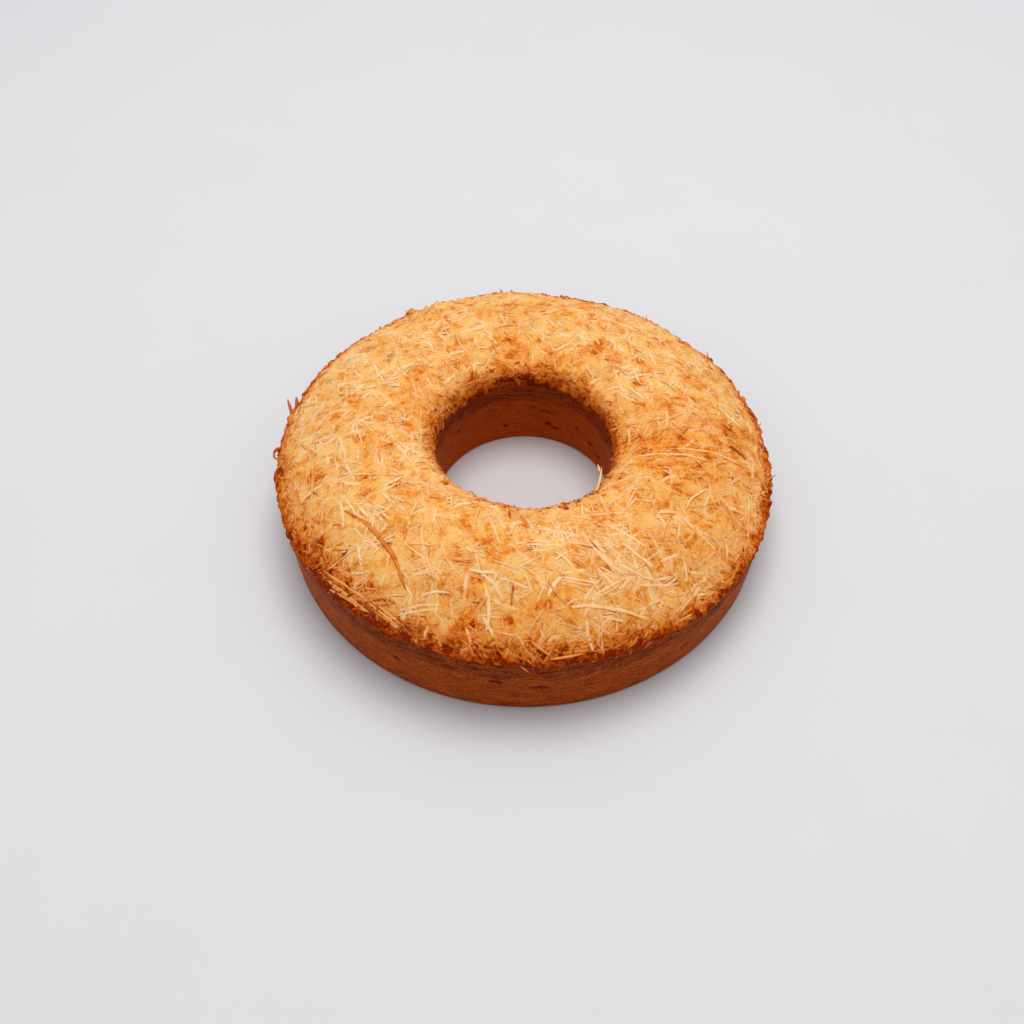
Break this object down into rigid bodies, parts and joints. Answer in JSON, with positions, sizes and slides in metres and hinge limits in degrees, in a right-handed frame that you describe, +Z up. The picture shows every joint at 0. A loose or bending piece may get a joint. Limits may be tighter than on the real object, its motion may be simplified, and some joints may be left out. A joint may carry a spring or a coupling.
{
  "type": "ring cake",
  "caption": "Whole ring-shaped fermented cassava cake with a domed golden top under grated cheese and a plain brown wall.",
  "frame": {"origin": "centre of the flat underside, on the axis of the hole, at the surface the cake stands on", "axes": "+Z up along the axis of the hole, -Y towards the side seen first, where the cake rose highest, +X to the right seen from there"},
  "size_m": [0.1984, 0.1984, 0.0561],
  "materials": {
    "baked_cake": "baked crust, golden on top under cream to tan cheese strips, red brown on the walls, slightly moist"
  },
  "bodies": {
    "root": {"ring_cake": "baked_cake"}
  },
  "joints": []
}
